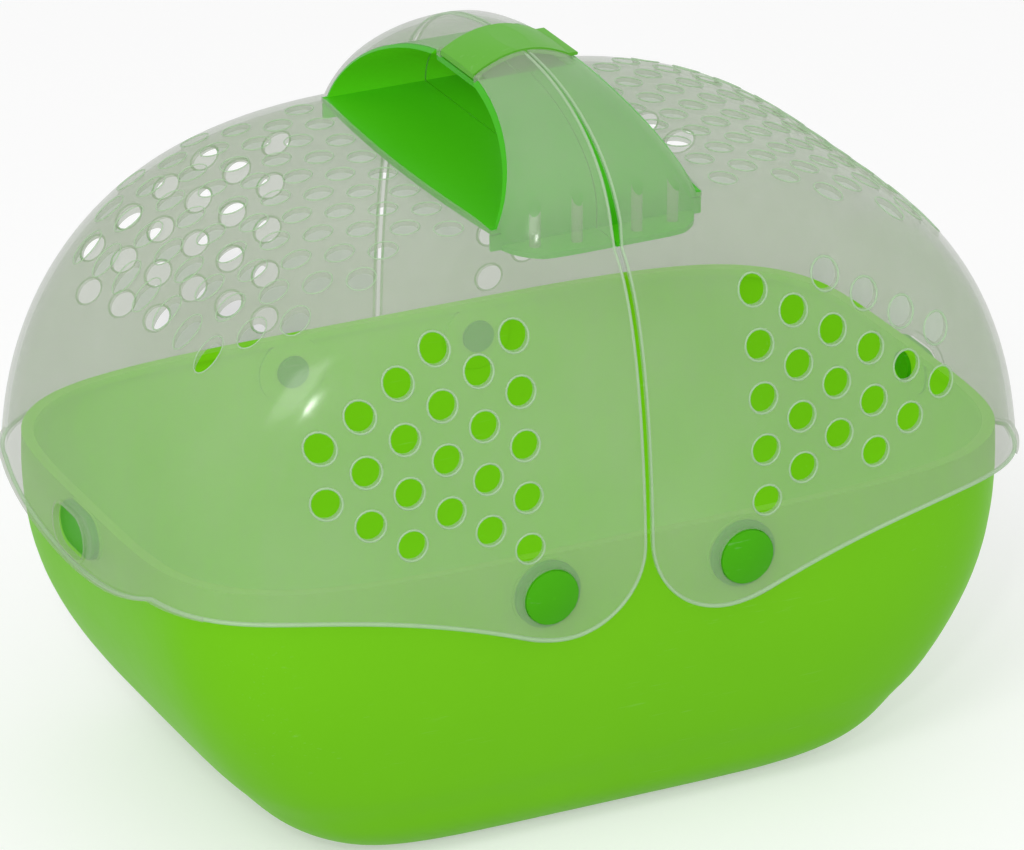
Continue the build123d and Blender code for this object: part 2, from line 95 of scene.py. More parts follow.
bead_inset = 0.0005
bead_gap_to_clip = 0.001
bead_crest_foot = 0.26
bead_seam_top = 0.2505
bead_gap_at_corner = 0.001
bead_gap_at_shoulder = 0.002
bead_sides = 8
rim_steps = 18
rim_sides = 4


# The stage: floor, lamps' aim, framing, and the soft shadow painted on the floor behind the object

floor_half_width = 4.0
floor_grey = 0.62
floor_white = 0.42
floor_white_through_lid = 0.2
lamp_aim = (0.0, 0.0, 0.15)
framed_height = 0.117
framed_aside = 0.0014
framed_up = 0.0177
shade_heading = math.radians(64.0)
shade_start = (0.0, 0.15)
shade_end = (0.44, 0.56)
shade_widening = (0.0, 0.35)
shade_half_width = (0.12, 0.185)
shade_soft_side = (0.78, 1.02)
shade_strength = 0.65


# Surfaces of the lid, worked out for whole arrays at once


def dome_section(level, inset):
    """Half length, half depth and corner power of the dome at a level.

    With the rise r, from 0 at the base to 1 at the top, the half sizes shrink as
    (1 - r^power)^(1/root), and the corner power goes evenly from low to high.
    """
    rise = np.clip((level - dome_base) / (dome_top - inset - dome_base), 0.0, 1.0)
    half_x = (lid_half_length - inset) * (1 - rise**dome_length_power) ** (1 / dome_length_root)
    half_y = (lid_half_depth - inset) * (1 - rise**dome_depth_power) ** (1 / dome_depth_root)
    power = dome_plan_power_low + (dome_plan_power_high - dome_plan_power_low) * rise
    return half_x, half_y, power


def dome_y(x, level, inset=0.0):
    """Depth of the dome's surface: |x/a|^p + |y/b|^p = 1 solved for y."""
    half_x, half_y, power = dome_section(level, inset)
    return half_y * np.clip(1 - (np.abs(x) / half_x) ** power, 0.0, 1.0) ** (1 / power)


def dome_x(y, level, inset):
    """Length of the dome's surface: |x/a|^p + |y/b|^p = 1 solved for x."""
    half_x, half_y, power = dome_section(level, inset)
    return half_x * np.clip(1 - (np.abs(y) / half_y) ** power, 0.0, 1.0) ** (1 / power)


def dome_level(x, y, halvings=24):
    """Level of the dome's surface over a place: |x/a|^p + |y/b|^p = 1 solved by halving."""
    below_top = 1e-6
    low = np.full(np.shape(x), dome_base)
    high = np.full(np.shape(x), dome_top - below_top)
    for _ in range(halvings):
        middle = (low + high) / 2
        half_x, half_y, power = dome_section(middle, 0.0)
        inside = (np.abs(x) / half_x) ** power + (np.abs(y) / half_y) ** power < 1
        low = np.where(inside, middle, low)
        high = np.where(inside, high, middle)
    return (low + high) / 2


def handle_profile(turn, inset):
    """Depth and level of the handle's crest at an angle from its foot.

    The crest is the rounded arch |y/L|^p + |z/H|^p = 1 over the handle's middle level, with
    the handle's end power p.
    """
    power = 2 / handle_end_power
    depth = (handle_half_length - inset) * np.cos(turn) ** power
    rise = handle_top - inset - handle_centre_level
    return depth, handle_centre_level + rise * np.sin(turn) ** power


def seam_half_width(level):
    """Half the gap between the lid halves: even up the dome, wide at the handle's foot."""
    levels = [dome_base, handle_centre_level, hand_hole_floor, handle_top]
    gaps = [seam_half_gap, seam_half_gap, seam_half_gap_foot, seam_half_gap_top]
    return np.interp(level, levels, gaps)


def smooth_line(points, count):
    """A cubic through points with level ends, its bends solved from a band of equations."""
    points = np.asarray(points, float)
    steps = np.linalg.norm(np.diff(points, axis=0), axis=1)
    places = np.concatenate([[0.0], np.cumsum(steps)])
    rows = np.eye(len(points))
    right = np.tile([1.0, 0.0], (len(points), 1))
    slopes = np.diff(points, axis=0) / steps[:, None]
    inner = np.arange(1, len(points) - 1)
    before, after = steps[:-1], steps[1:]
    rows[inner, inner - 1] = after
    rows[inner, inner] = 2 * (before + after)
    rows[inner, inner + 1] = before
    right[inner] = 3 * (after[:, None] * slopes[:-1] + before[:, None] * slopes[1:])
    tangents = np.linalg.solve(rows, right)
    at = np.linspace(0.0, places[-1], count)
    span = np.clip(np.searchsorted(places, at, "right") - 1, 0, len(steps) - 1)
    width = steps[span][:, None]
    t = ((at - places[span]) / steps[span])[:, None]
    return (
        points[span] * (1 + 2 * t) * (1 - t) ** 2
        + points[span + 1] * t**2 * (3 - 2 * t)
        + width * tangents[span] * t * (1 - t) ** 2
        - width * tangents[span + 1] * t**2 * (1 - t)
    )


def tube(path, radius, sides):
    """Points and faces of a round bead along a path.

    Each ring is the path's point plus radius times (cos a, sin a) in the two directions
    square to the path, the first of which points away from the middle of the path. Both
    ends are drawn in to a third of the radius and closed with a flat face.
    """
    along = np.gradient(path, axis=0)
    along /= np.linalg.norm(along, axis=1, keepdims=True)
    outward = path - (path.min(axis=0) + path.max(axis=0)) / 2
    outward -= along * np.sum(outward * along, axis=1, keepdims=True)
    outward /= np.linalg.norm(outward, axis=1, keepdims=True)
    across = np.cross(along, outward)
    radius = np.array(radius, float)
    radius[[0, -1]] /= 3
    turn = np.linspace(0.0, 2 * math.pi, sides, endpoint=False)[None, :, None]
    ring = np.cos(turn) * outward[:, None] + np.sin(turn) * across[:, None]
    points = (path[:, None] + radius[:, None, None] * ring).reshape(-1, 3)
    row, column = np.meshgrid(np.arange(len(path) - 1), np.arange(sides), indexing="ij")
    following = (column + 1) % sides
    faces = np.stack(
        [
            row * sides + column,
            row * sides + following,
            (row + 1) * sides + following,
            (row + 1) * sides + column,
        ],
        axis=-1,
    ).reshape(-1, 4)
    first = list(range(sides))[::-1]
    last = list(range(len(path) * sides - sides, len(path) * sides))
    return points, [*faces.tolist(), first, last]


def rings(lines, radius, sides):
    """Points and faces of closed rings round lines given as (ring, place on it, xyz).

    At each place stands a small circle: the place plus radius times (cos a, sin a) in two
    directions, away from the ring's middle and square to both that and the line.
    """
    count, steps, _ = lines.shape
    outward = lines - lines.mean(axis=1, keepdims=True)
    outward /= np.linalg.norm(outward, axis=2, keepdims=True)
    along = np.roll(lines, -1, axis=1) - np.roll(lines, 1, axis=1)
    across = np.cross(along, outward)
    across /= np.linalg.norm(across, axis=2, keepdims=True)
    turn = np.linspace(0.0, 2 * math.pi, sides, endpoint=False)[None, None, :, None]
    circle = np.cos(turn) * outward[:, :, None] + np.sin(turn) * across[:, :, None]
    points = lines[:, :, None] + radius * circle
    ring, step, side = np.meshgrid(
        np.arange(count), np.arange(steps), np.arange(sides), indexing="ij"
    )
    next_step = (step + 1) % steps
    next_side = (side + 1) % sides
    start = ring * steps * sides
    faces = np.stack(
        [
            start + step * sides + side,
            start + step * sides + next_side,
            start + next_step * sides + next_side,
            start + next_step * sides + side,
        ],
        axis=-1,
    )
    return points.reshape(-1, 3), faces.reshape(-1, 4).tolist()


def make_piece(name, points, faces, material, side):
    """A smooth-shaded piece of a lid half; the right one is the left one mirrored."""
    points = np.array(points, float)
    if side == "right":
        points[:, 0] *= -1
        faces = [face[::-1] for face in faces]
    mesh = bpy.data.meshes.new(name)
    mesh.from_pydata(points.tolist(), [], faces)
    mesh.polygons.foreach_set("use_smooth", np.ones(len(faces), bool))
    mesh.update()
    mesh.materials.append(material)
    piece = bpy.data.objects.new(name, mesh)
    bpy.context.scene.collection.objects.link(piece)
    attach(piece, f"{side}_half")


# Colours and small helpers


def linear(colour):
    """A colour as seen on screen, turned into scene light: the sRGB curve undone."""
    values = np.clip(colour[:3], 0.0, 1.0)
    low = values / 12.92
    high = ((values + 0.055) / 1.055) ** 2.4
    return (*np.where(values <= 0.04045, low, high), 1.0)


def link(tree, source, target):
    """Joins an output socket to an input socket."""
    tree.links.new(source, target)


def add_node(tree, kind, values=None, **settings):
    """A shader node with some of its settings and input values set."""
    node = tree.nodes.new(kind)
    for key, value in settings.items():
        setattr(node, key, value)
    for key, value in (values or {}).items():
        node.inputs[key].default_value = value
    return node


def feed(tree, value, socket):
    """Gives an input socket its value: a plain number, or another node's output."""
    if isinstance(value, (int, float)):
        socket.default_value = value
    else:
        link(tree, value, socket)


def new_group(name, inputs, outputs):
    """An empty shader node group with named sockets, and its input and output nodes."""
    group = bpy.data.node_groups.new(name, "ShaderNodeTree")
    for label, kind, value in inputs:
        socket = group.interface.new_socket(label, in_out="INPUT", socket_type=kind)
        socket.default_value = value
    for label, kind in outputs:
        group.interface.new_socket(label, in_out="OUTPUT", socket_type=kind)
    return group, group.nodes.new("NodeGroupInput"), group.nodes.new("NodeGroupOutput")


def noise(tree, coordinates, size, detail=2.0, roughness=0.5):
    """Noise whose blobs are about a size, in metres; gives its 0 to 1 output."""
    node = add_node(
        tree,
        "ShaderNodeTexNoise",
        {"Scale": 1.0 / size, "Detail": detail, "Roughness": roughness},
    )
    link(tree, coordinates, node.inputs["Vector"])
    return node.outputs["Fac"]


def spread(tree, source, low, high, to_low=0.0, to_high=1.0):
    """Maps a value from one range to another, held at the ends. To-ends may be sockets."""
    node = add_node(tree, "ShaderNodeMapRange", {"From Min": low, "From Max": high})
    link(tree, source, node.inputs["Value"])
    feed(tree, to_low, node.inputs["To Min"])
    feed(tree, to_high, node.inputs["To Max"])
    return node.outputs["Result"]


def arithmetic(tree, operation, first, second=0.0):
    """One Math node; first and second are sockets or plain numbers."""
    node = add_node(tree, "ShaderNodeMath", operation=operation)
    feed(tree, first, node.inputs[0])
    feed(tree, second, node.inputs[1])
    return node.outputs["Value"]


# Shared effects


def moulded_skin_group():
    """Moulded plastic: clouds in the colour, smears in the gloss, orange peel in the height."""
    group, given, result = new_group(
        "moulded_skin",
        [
            ("Colour", "NodeSocketColor", (0.5, 0.5, 0.5, 1.0)),
            ("Cloud Colour", "NodeSocketColor", (0.5, 0.5, 0.5, 1.0)),
            ("Roughness", "NodeSocketFloat", 0.4),
            ("Roughness Swing", "NodeSocketFloat", 0.08),
        ],
        [
            ("Colour", "NodeSocketColor"),
            ("Roughness", "NodeSocketFloat"),
            ("Height", "NodeSocketFloat"),
        ],
    )
    place = group.nodes.new("ShaderNodeTexCoord").outputs["Object"]
    clouds = spread(group, noise(group, place, size=0.09, detail=3.0), low=0.3, high=0.7)
    mix = add_node(group, "ShaderNodeMix", data_type="RGBA")
    link(group, clouds, mix.inputs["Factor"])
    link(group, given.outputs["Colour"], mix.inputs["A"])
    link(group, given.outputs["Cloud Colour"], mix.inputs["B"])
    link(group, mix.outputs["Result"], result.inputs["Colour"])
    smear = noise(group, place, size=0.03, detail=4.0, roughness=0.6)
    swing = arithmetic(group, "MULTIPLY", given.outputs["Roughness Swing"], smear)
    rough = arithmetic(group, "ADD", given.outputs["Roughness"], swing)
    link(group, rough, result.inputs["Roughness"])
    link(group, noise(group, place, size=0.006), result.inputs["Height"])
    return group


def handling_wear_group():
    """Fine scuffs from handling: thin crossing streaks where a slow noise lets them show."""
    group, given, result = new_group(
        "handling_wear",
        [("Amount", "NodeSocketFloat", 0.5)],
        [("Mask", "NodeSocketFloat")],
    )
    place = group.nodes.new("ShaderNodeTexCoord").outputs["Object"]
    stretch = (1.0, 14.0, 14.0)
    streaks = []
    for turn in ((0.3, 0.2, 0.5), (1.1, 0.4, -0.6)):
        mapping = add_node(group, "ShaderNodeMapping", {"Rotation": turn, "Scale": stretch})
        link(group, place, mapping.inputs["Vector"])
        streaks.append(noise(group, mapping.outputs["Vector"], size=0.02))
    crossed = arithmetic(group, "MAXIMUM", *streaks)
    thin = spread(group, crossed, low=0.68, high=0.74)
    patches = spread(group, noise(group, place, size=0.05), low=0.45, high=0.65)
    shown = arithmetic(group, "MULTIPLY", thin, patches)
    mask = arithmetic(group, "MULTIPLY", shown, given.outputs["Amount"])
    link(group, mask, result.inputs["Mask"])
    return group


def milky_wall_group():
    """Frosted wall: how solid it looks, from slow clouds and upright streaks of the melt.

    Up the handle, from its foot to its crest, it gets milkier by the crest gain.
    """
    group, given, result = new_group(
        "milky_wall",
        [
            ("Cover", "NodeSocketFloat", 0.4),
            ("Swing", "NodeSocketFloat", 0.1),
            ("Crest Gain", "NodeSocketFloat", 0.1),
        ],
        [("Cover", "NodeSocketFloat")],
    )
    streak_share = 0.5
    middle = 0.5 + 0.5 * streak_share
    place = group.nodes.new("ShaderNodeTexCoord").outputs["Object"]
    clouds = noise(group, place, size=0.05, detail=4.0, roughness=0.55)
    flow = add_node(group, "ShaderNodeMapping", {"Scale": (1.0, 1.0, 0.12)})
    link(group, place, flow.inputs["Vector"])
    streaks = noise(group, flow.outputs["Vector"], size=0.007, detail=3.0)
    streaks = arithmetic(group, "MULTIPLY", streaks, streak_share)
    centred = arithmetic(group, "SUBTRACT", arithmetic(group, "ADD", clouds, streaks), middle)
    change = arithmetic(group, "MULTIPLY", centred, given.outputs["Swing"])
    even = arithmetic(group, "ADD", given.outputs["Cover"], change)
    height = add_node(group, "ShaderNodeSeparateXYZ")
    link(group, place, height.inputs["Vector"])
    rise = spread(group, height.outputs["Z"], low=hand_hole_floor, high=handle_top)
    gain = arithmetic(group, "MULTIPLY", rise, given.outputs["Crest Gain"])
    link(group, arithmetic(group, "ADD", even, gain), result.inputs["Cover"])
    return group


def painted_glow_group():
    """Share of a painted glow for light that comes through a thin wall, by which way its face
    looks.

    It is the outside share on faces turned away from the object's upright middle line and
    the inside share on faces turned towards it, where the wall's other side is lit.
    """
    group, given, result = new_group(
        "painted_glow",
        [("Outside", "NodeSocketFloat", 0.1), ("Inside", "NodeSocketFloat", 0.3)],
        [("Share", "NodeSocketFloat")],
    )
    place = group.nodes.new("ShaderNodeTexCoord")
    flat = add_node(group, "ShaderNodeVectorMath", {1: (1.0, 1.0, 0.0)}, operation="MULTIPLY")
    link(group, place.outputs["Object"], flat.inputs[0])
    away = add_node(group, "ShaderNodeVectorMath", operation="NORMALIZE")
    link(group, flat.outputs["Vector"], away.inputs[0])
    facing = add_node(group, "ShaderNodeVectorMath", operation="DOT_PRODUCT")
    link(group, away.outputs["Vector"], facing.inputs[0])
    link(group, place.outputs["Normal"], facing.inputs[1])
    share = spread(
        group,
        facing.outputs["Value"],
        low=0.15,
        high=-0.25,
        to_low=given.outputs["Outside"],
        to_high=given.outputs["Inside"],
    )
    link(group, share, result.inputs["Share"])
    return group


effects = {}


def effect(name):
    """A shared effect by its name, built the first time it is asked for."""
    builders = {
        "moulded_skin": moulded_skin_group,
        "handling_wear": handling_wear_group,
        "milky_wall": milky_wall_group,
        "painted_glow": painted_glow_group,
    }
    if name not in effects:
        effects[name] = builders[name]()
    return effects[name]


def place_effect(tree, name, values):
    """Puts a shared effect into a material with its own values."""
    return add_node(tree, "ShaderNodeGroup", values, node_tree=effect(name))


# Finishes


def plastic(name, colour, cloud_colour, roughness, peel=0.15, wear=0.0, gloss=0.25):
    """A moulded plastic with slow clouds, orange peel and, where it is handled, scuffs."""
    material = bpy.data.materials.new(name)
    material.use_nodes = True
    tree = material.node_tree
    shader = tree.nodes["Principled BSDF"]
    skin = place_effect(
        tree,
        "moulded_skin",
        {
            "Colour": linear(colour),
            "Cloud Colour": linear(cloud_colour),
            "Roughness": roughness,
            "Roughness Swing": 0.1,
        },
    )
    colour_out, roughness_out = skin.outputs["Colour"], skin.outputs["Roughness"]
    if wear:
        colour_out, roughness_out = add_scuffs(tree, colour_out, roughness_out, wear)
    link(tree, colour_out, shader.inputs["Base Color"])
    link(tree, roughness_out, shader.inputs["Roughness"])
    bump = add_node(tree, "ShaderNodeBump", {"Strength": peel, "Distance": 0.0004})
    link(tree, skin.outputs["Height"], bump.inputs["Height"])
    link(tree, bump.outputs["Normal"], shader.inputs["Normal"])
    shader.inputs["Specular IOR Level"].default_value = gloss
    return material


def add_scuffs(tree, colour, roughness, amount):
    """Colour and roughness with scuffs laid over them, which are paler and duller."""
    scuff_colour = (0.8, 0.86, 0.74, 1.0)
    colour_share = 0.35
    roughness_gain = 0.2
    mask = place_effect(tree, "handling_wear", {"Amount": amount}).outputs["Mask"]
    paler = add_node(tree, "ShaderNodeMix", {"B": scuff_colour}, data_type="RGBA")
    link(tree, arithmetic(tree, "MULTIPLY", mask, colour_share), paler.inputs["Factor"])
    link(tree, colour, paler.inputs["A"])
    gain = arithmetic(tree, "MULTIPLY", mask, roughness_gain)
    return paler.outputs["Result"], arithmetic(tree, "ADD", roughness, gain)


def add_painted_glow(material, colour, outside, inside):
    """Adds a painted glow: emission in a colour, standing in for light that comes through a thin
    wall, by the way faces look.
    """
    tree = material.node_tree
    shader = tree.nodes["Principled BSDF"]
    through = place_effect(tree, "painted_glow", {"Outside": outside, "Inside": inside})
    lit = add_node(
        tree,
        "ShaderNodeMix",
        {"A": (0.0, 0.0, 0.0, 1.0), "B": linear(colour)},
        data_type="RGBA",
    )
    link(tree, through.outputs["Share"], lit.inputs["Factor"])
    # painted glow: the emission stands in for light that shines through the wall
    link(tree, lit.outputs["Result"], shader.inputs["Emission Color"])
    shader.inputs["Emission Strength"].default_value = 1.0


def show_behind(material, cover):
    """Makes a wall see-through by 1 less its cover; light itself passes nearly unhindered."""
    cover_to_light = 0.06
    tree = material.node_tree
    wall = place_effect(tree, "milky_wall", {"Cover": cover, "Swing": 0.12, "Crest Gain": 0.05})
    ray = tree.nodes.new("ShaderNodeLightPath").outputs
    lighting = arithmetic(tree, "MAXIMUM", ray["Is Shadow Ray"], ray["Is Diffuse Ray"])
    alpha = spread(tree, lighting, 0.0, 1.0, wall.outputs["Cover"], cover_to_light)
    link(tree, alpha, tree.nodes["Principled BSDF"].inputs["Alpha"])


def lid_edge_and_glint_finish(context):
    """The frosted plastic where it is thick or bent, which looks greener and more solid; its paler
    colour is also a painted highlight of the light its edges catch.
    """
    made = bpy.data.materials.get("frosted_edge_and_glint")
    if made:
        return made
    tint = np.array(context.scene.carrier_finish.frosted_tint)
    # painted highlight: the tint is made paler for light caught on the edges and rims
    pale = np.minimum(tint * (1.07, 1.2, 1.1), 1.0)
    finish = plastic("frosted_edge_and_glint", pale, pale * 0.97, roughness=0.3, gloss=0.5)
    show_behind(finish, cover=0.5)
    return finish


def dress(node_name, material):
    """Gives a CAD node its finish."""
    node = nodes[node_name]
    node.data.materials.clear()
    node.data.materials.append(material)


# What a user would change


class CarrierFinish(bpy.types.PropertyGroup):
    """Colours as seen on screen, and how solid the frosted walls look."""

    tub_green: bpy.props.FloatVectorProperty(
        name="Tub Green",
        description="Colour of the tub",
        subtype="COLOR_GAMMA",
        size=3,
        min=0.0,
        max=1.0,
        default=(0.42, 0.75, 0.05),
    )
    frosted_tint: bpy.props.FloatVectorProperty(
        name="Frosted Tint",
        description="Colour of the milky lid halves",
        subtype="COLOR_GAMMA",
        size=3,
        min=0.0,
        max=1.0,
        default=(0.665, 0.71, 0.615),
    )
    liner_green: bpy.props.FloatVectorProperty(
        name="Liner Green",
        description="Colour of the lining of the hand hole",
        subtype="COLOR_GAMMA",
        size=3,
        min=0.0,
        max=1.0,
        default=(0.24, 0.7, 0.05),
    )
    clip_green: bpy.props.FloatVectorProperty(
        name="Clip Green",
        description="Colour of the clip over the handle",
        subtype="COLOR_GAMMA",
        size=3,
        min=0.0,
        max=1.0,
        default=(0.38, 0.685, 0.2),
    )
    knob_green: bpy.props.FloatVectorProperty(
        name="Knob Green",
        description="Colour of the pivot knobs and the end buttons",
        subtype="COLOR_GAMMA",
        size=3,
        min=0.0,
        max=1.0,
        default=(0.26, 0.66, 0.03),
    )
    frosted_cover: bpy.props.FloatProperty(
        name="Frosted Cover",
        description="Share of light that each face of a frosted wall stops",
        subtype="FACTOR",
        min=0.05,
        max=1.0,
        default=0.27,
    )


class CarrierTrim(bpy.types.PropertyGroup):
    """Sizes of the fine beads and rims on the lid halves."""

    seam_bead_radius: bpy.props.FloatProperty(
        name="Seam Bead Radius",
        description="Radius of the edge bead along the handle and the seam",
        subtype="DISTANCE",
        precision=5,
        default=0.00055,
    )
    edge_bead_radius: bpy.props.FloatProperty(
        name="Edge Bead Radius",
        description="Radius of the edge bead along the wavy lower edge",
        subtype="DISTANCE",
        precision=5,
        default=0.0009,
    )
    side_rim_radius: bpy.props.FloatProperty(
        name="Side Rim Radius",
        description="Half the thickness of the rims of the vents in the walls",
        subtype="DISTANCE",
        precision=5,
        default=0.0005,
    )
    roof_rim_radius: bpy.props.FloatProperty(
        name="Roof Rim Radius",
        description="Half the thickness of the rims of the vents in the roof",
        subtype="DISTANCE",
        precision=5,
        default=0.0003,
    )
    rim_reach: bpy.props.FloatProperty(
        name="Rim Reach",
        description="How far outside a vent's edge the middle of its rim lies",
        subtype="DISTANCE",
        precision=5,
        default=0.0003,
    )


class CarrierStage(bpy.types.PropertyGroup):
    """Camera, lamps and the light from all round."""

    azimuth: bpy.props.FloatProperty(
        name="Azimuth",
        description="Where the camera stands round the object; 0 looks along +Y",
        subtype="ANGLE",
        default=math.radians(-25.99),
    )
    elevation: bpy.props.FloatProperty(
        name="Elevation",
        description="Height of the camera above the horizon",
        subtype="ANGLE",
        default=math.radians(24.01),
    )
    distance: bpy.props.FloatProperty(
        name="Distance",
        description="From the camera to the point it is framed on",
        subtype="DISTANCE",
        default=2.893,
    )
    lens: bpy.props.FloatProperty(
        name="Lens",
        description="Focal length on a 36 mm sensor",
        subtype="DISTANCE_CAMERA",
        default=249.6,
    )
    sky: bpy.props.FloatProperty(
        name="Sky", description="Strength of the plain light from all round", default=0.72
    )
    key_power: bpy.props.FloatProperty(
        name="Key Power",
        description="Power of the big soft lamp at the front left",
        subtype="POWER",
        default=16.0,
    )
    flash_power: bpy.props.FloatProperty(
        name="Flash Power",
        description="Power of the small lamp that draws the highlight",
        subtype="POWER",
        default=7.0,
    )
    fill_power: bpy.props.FloatProperty(
        name="Fill Power",
        description="Power of the soft lamp at the right",
        subtype="POWER",
        default=2.5,
    )


# Pieces, one operator for each group of like pieces


class CARRIER_OT_tub(bpy.types.Operator):
    """Finishes the tub"""

    bl_idname = "carrier.tub"
    bl_label = "Tub"

    def execute(self, context):
        green = np.array(context.scene.carrier_finish.tub_green)
        clouds = green * (0.97, 0.985, 0.9)
        finish = plastic("tub_plastic", green, clouds, roughness=0.42, wear=0.15, gloss=0.13)
        # painted glow: emission in the tub's green stands in for light coming through its walls
        add_painted_glow(finish, green * (1.2, 0.98, 2.0), outside=0.15, inside=0.32)
        dress("tub", finish)
        return {"FINISHED"}


class CARRIER_OT_lids(bpy.types.Operator):
    """Finishes the two frosted lid halves"""

    bl_idname = "carrier.lids"
    bl_label = "Lid Halves"

    def execute(self, context):
        colours = context.scene.carrier_finish
        tint = np.array(colours.frosted_tint)
        finish = plastic(
            "frosted_plastic", tint, tint * 1.04, roughness=0.1, peel=0.04, gloss=0.5
        )
        show_behind(finish, colours.frosted_cover)
        dress("left_lid", finish)
        dress("right_lid", finish)
        return {"FINISHED"}


class CARRIER_OT_beads(bpy.types.Operator):
    """Adds the rolled bead round the edge of each lid half"""

    bl_idname = "carrier.beads"
    bl_label = "Edge Beads"

    def execute(self, context):
        trim = context.scene.carrier_trim
        path, radius = self.edge_line(trim.seam_bead_radius, trim.edge_bead_radius)
        points, faces = tube(path, radius, bead_sides)
        for side in ("left", "right"):
            make_piece(f"{side}_edge_bead", points, faces, lid_edge_and_glint_finish(context), side)
        return {"FINISHED"}

    def edge_line(self, thin, thick):
        """The left half's edge from the clip down the front, round the end and up the back.

        Down the handle it follows the crest, down the seam, the corner and the wavy lower
        edge the dome's surface, and round the end a shallow arc. The back is the front
        mirrored. The radius is thin down to the corner, grows there and then is thick.
        """
        crest = self.crest_line()
        level = np.linspace(bead_seam_top, edge_corner_level + bead_gap_at_corner, 60)
        seam = self.on_front(-seam_half_gap - bead_inset + 0 * level, level)
        turn = np.linspace(0.0, math.pi / 2, 24)
        corner_x = -seam_half_gap - edge_corner_radius
        corner_radius = edge_corner_radius - bead_inset
        corner = self.on_front(
            corner_x + corner_radius * np.cos(turn),
            edge_corner_level - corner_radius * np.sin(turn),
        )
        front = self.lower_edge(corner_x, edge_corner_level - edge_corner_radius)
        end = self.end_line(front[-1, 1] + bead_gap_at_shoulder)
        half = np.concatenate([crest, seam, corner, front, end])
        radius = np.concatenate(
            [
                np.full(len(crest) + len(seam), thin),
                np.linspace(thin, thick, len(corner)),
                np.full(len(front) + len(end), thick),
            ]
        )
        back = half[-2::-1] * (1, -1, 1)
        return np.concatenate([half, back]), np.concatenate([radius, radius[-2::-1]])

    def on_front(self, x, level):
        """Points an inset inside the dome's front surface."""
        return np.stack([x, -dome_y(x, level, bead_inset), level], axis=1)

    def on_end(self, y, level):
        """Points an inset inside the dome's left end."""
        return np.stack([-dome_x(y, level, bead_inset), y, level], axis=1)

    def crest_line(self):
        """The handle's crest from beside the clip, where cos a = (y/L)^(p/2), to its foot."""
        clip_side = (clip_half_cut + bead_gap_to_clip) / handle_half_length
        start = math.acos(clip_side ** (handle_end_power / 2))
        depth, level = handle_profile(np.linspace(start, bead_crest_foot, 50), bead_inset)
        return np.stack([-seam_half_width(level) - bead_inset, -depth, level], axis=1)

    def lower_edge(self, corner_x, corner_level):
        """The wavy lower edge of the front, a smooth line from the corner to the end."""
        rises = [(-share * lid_half_length, tub_height - drop) for share, drop in edge_rise]
        knots = [(-edge_end_start, edge_side_level), *reversed(rises), (corner_x, corner_level)]
        x, level = smooth_line(knots, 90)[::-1][1:].T
        return self.on_front(x, level + bead_inset)

    def end_line(self, first_y):
        """Level along the end's shoulder, then half of a shallow arc that dips to its middle."""
        y = np.linspace(first_y, -edge_end_half_width, 12)
        shoulder = self.on_end(y, edge_side_level + bead_inset + 0 * y)
        drop = edge_side_level - edge_end_level
        radius = (edge_end_half_width**2 + drop**2) / (2 * drop)
        y = np.linspace(-edge_end_half_width, 0.0, 40)[1:]
        level = edge_end_level + radius - np.sqrt(radius**2 - y**2) + bead_inset
        return np.concatenate([shoulder, self.on_end(y, level)])


class CARRIER_OT_vent_rims(bpy.types.Operator):
    """Adds the fine raised rim round every vent"""

    bl_idname = "carrier.vent_rims"
    bl_label = "Vent Rims"

    def execute(self, context):
        trim = context.scene.carrier_trim
        x, level = self.circles(self.side_places(), side_vent_radius + trim.rim_reach)
        walls = [np.stack([x, side * dome_y(x, level), level], axis=2) for side in (-1, 1)]
        x, y = self.circles(self.roof_places(), roof_vent_radius + trim.rim_reach)
        roof = np.stack([x, y, dome_level(x, y)], axis=2)
        side_rims = rings(np.concatenate(walls), trim.side_rim_radius, rim_sides)
        roof_rims = rings(roof, trim.roof_rim_radius, rim_sides)
        for side in ("left", "right"):
            for name, (points, faces) in (("side", side_rims), ("roof", roof_rims)):
                finish = lid_edge_and_glint_finish(context)
                make_piece(f"{side}_{name}_vent_rims", points, faces, finish, side)
        return {"FINISHED"}

    def circles(self, places, radius):
        """Circles round places: each place plus radius times (cos a, sin a)."""
        turn = np.linspace(0.0, 2 * math.pi, rim_steps, endpoint=False)
        first, second = places
        return first[:, None] + radius * np.cos(turn), second[:, None] + radius * np.sin(turn)

    def side_places(self):
        """Centres of the vents in a long wall: columns a pitch apart, every other one raised."""
        first_x, first_level = side_vent_first
        pitch = (side_vent_last_x - first_x) / (len(side_vent_rows) - 1)
        columns = [
            (column, row + 0.5 * (column % 2))
            for column, (start, count) in enumerate(side_vent_rows)
            for row in range(start, start + count)
        ]
        column, row = np.array(columns).T
        return -first_x - column * pitch, first_level + row * side_vent_row_pitch

    def roof_places(self):
        """Centres of the vents in the roof: columns a pitch apart, each centred on the middle."""
        pitch = (roof_vent_last_x - roof_vent_first_x) / (len(roof_vent_columns) - 1)
        columns = [
            (column, row - (count - 1) / 2)
            for column, count in enumerate(roof_vent_columns)
            for row in range(count)
        ]
        column, row = np.array(columns).T
        return -roof_vent_first_x - column * pitch, row * roof_vent_row_pitch


class CARRIER_OT_liners(bpy.types.Operator):
    """Finishes the green lining of the handle"""

    bl_idname = "carrier.liners"
    bl_label = "Handle Liners"

    def execute(self, context):
        green = np.array(context.scene.carrier_finish.liner_green)
        clouds = green * (1.06, 1.02, 1.3)
        finish = plastic("liner_plastic", green, clouds, roughness=0.3, gloss=0.2)
        # painted glow: emission in the liner's green stands in for light coming through the handle
        add_painted_glow(finish, green * (1.5, 1.03, 1.8), outside=0.0, inside=0.3)
        dress("left_handle_liner", finish)
        dress("right_handle_liner", finish)
        return {"FINISHED"}


